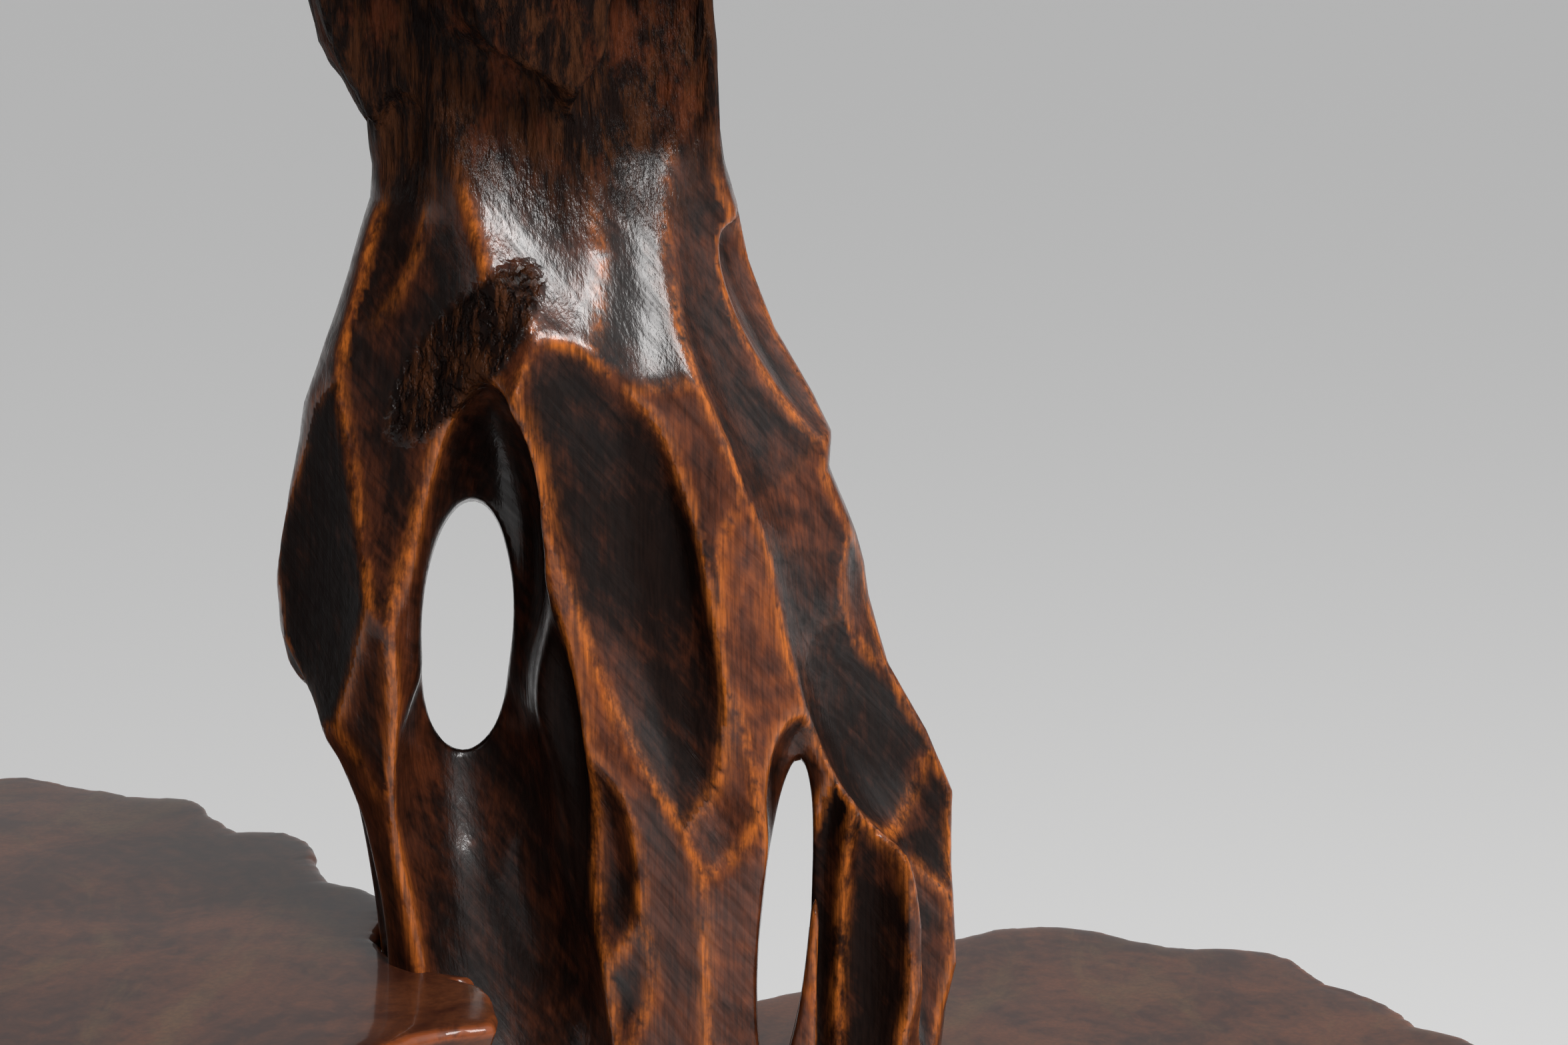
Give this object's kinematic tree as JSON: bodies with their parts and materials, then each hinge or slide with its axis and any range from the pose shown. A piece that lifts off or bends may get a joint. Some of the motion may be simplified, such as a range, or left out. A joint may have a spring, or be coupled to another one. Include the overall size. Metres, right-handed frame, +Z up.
{
  "type": "sculpting stand",
  "caption": "Root-carved wooden stand with two live-edge side trays and a live-edge round top that turns on a hidden ball bearing.",
  "frame": {"origin": "centre of the bounding box's bottom face, on the floor", "axes": "+Z up, +X to the right of a person facing the carved front, -Y towards that person"},
  "size_m": [0.8698, 0.4954, 1.05],
  "materials": {
    "root_wood": "dark stain under glossy clear varnish, worn orange on the ridges",
    "slab_wood": "dark brown stain under glossy clear varnish",
    "dowel_wood": "raw beech",
    "steel": "brushed",
    "polished_steel": "polished",
    "brass": "satin",
    "rubber": "matt"
  },
  "bodies": {
    "stand": {"base_slab": "slab_wood", "foot_pads": "rubber", "foot_pad_screws": "steel", "trunk": "root_wood", "trunk_coach_screws": "steel", "trunk_washers": "steel", "left_limb": "root_wood", "left_limb_dowels": "dowel_wood", "left_tray": "slab_wood", "left_tray_screws": "steel", "right_limb": "root_wood", "right_limb_dowels": "dowel_wood", "right_tray": "slab_wood", "right_tray_screws": "steel", "bearing_base_plate": "steel", "base_plate_screws": "steel", "lower_race": "steel", "spindle": "steel", "spindle_washer": "steel", "spindle_nut": "steel"},
    "turntable": {"upper_race": "steel", "bearing_top_plate": "steel", "top_plate_screws": "steel", "top_slab": "slab_wood", "top_plug": "slab_wood"},
    "ball_ring": {"bearing_balls": "polished_steel", "ball_cage": "brass"}
  },
  "joints": [
    {"name": "top_spin", "type": "hinge", "parent": "stand", "child": "turntable", "pos_m": [0.032, -0.025, 1], "axis": [0, 0, 1], "continuous": true},
    {"name": "cage_spin", "type": "hinge", "parent": "stand", "child": "ball_ring", "pos_m": [0.032, -0.025, 1], "axis": [0, 0, 1], "continuous": true}
  ],
  "couplings": [
    {"joint": "cage_spin", "follows": "top_spin", "ratio": 0.5}
  ]
}
